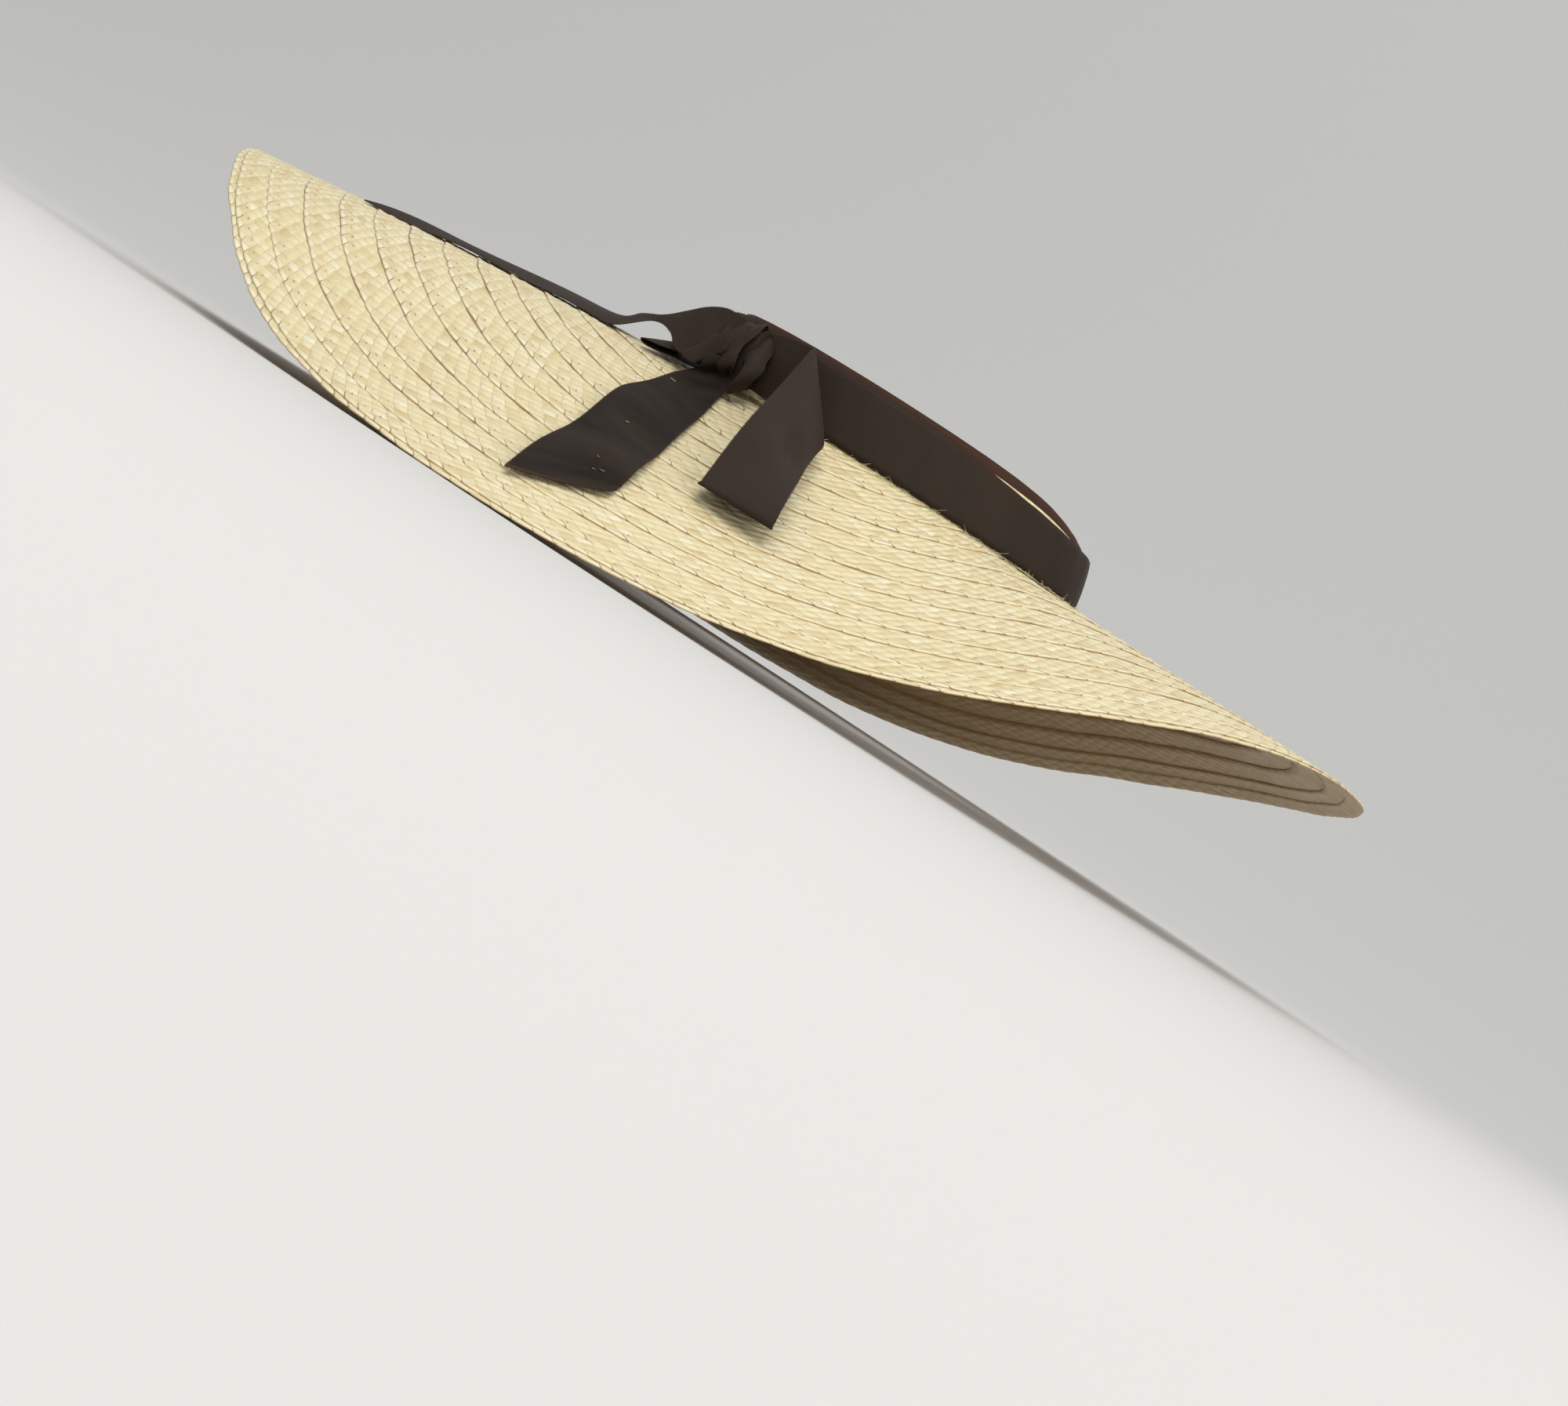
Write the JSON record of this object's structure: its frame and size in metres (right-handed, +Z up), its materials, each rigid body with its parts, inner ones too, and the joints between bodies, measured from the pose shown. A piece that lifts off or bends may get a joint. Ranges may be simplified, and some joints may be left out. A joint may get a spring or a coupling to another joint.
{
  "type": "tilt hat",
  "caption": "Wide-brimmed tilt hat of sewn straw braid with an open crown, a ribbon band and a flat ribbon bow at the front left.",
  "frame": {"origin": "centre of the hat's box, on the surface that it lies on", "axes": "+Z up, -Y the front of the hat, +X the wearer's left"},
  "size_m": [0.436, 0.495, 0.112],
  "materials": {
    "straw": "pale natural straw braid, plaited flat and sewn in rows",
    "dark_ribbon": "very dark brown ribbed ribbon, dull with a soft sheen",
    "brown_ribbon": "reddish-brown ribbed ribbon inside the crown"
  },
  "bodies": {
    "root": {"brim": "straw", "crown_wall": "straw", "hat_band": "dark_ribbon", "inner_ribbon": "brown_ribbon", "bow_knot": "dark_ribbon", "bow_loop_left": "dark_ribbon", "bow_loop_right": "dark_ribbon", "bow_tail_left": "dark_ribbon", "bow_tail_right": "dark_ribbon"}
  },
  "joints": []
}
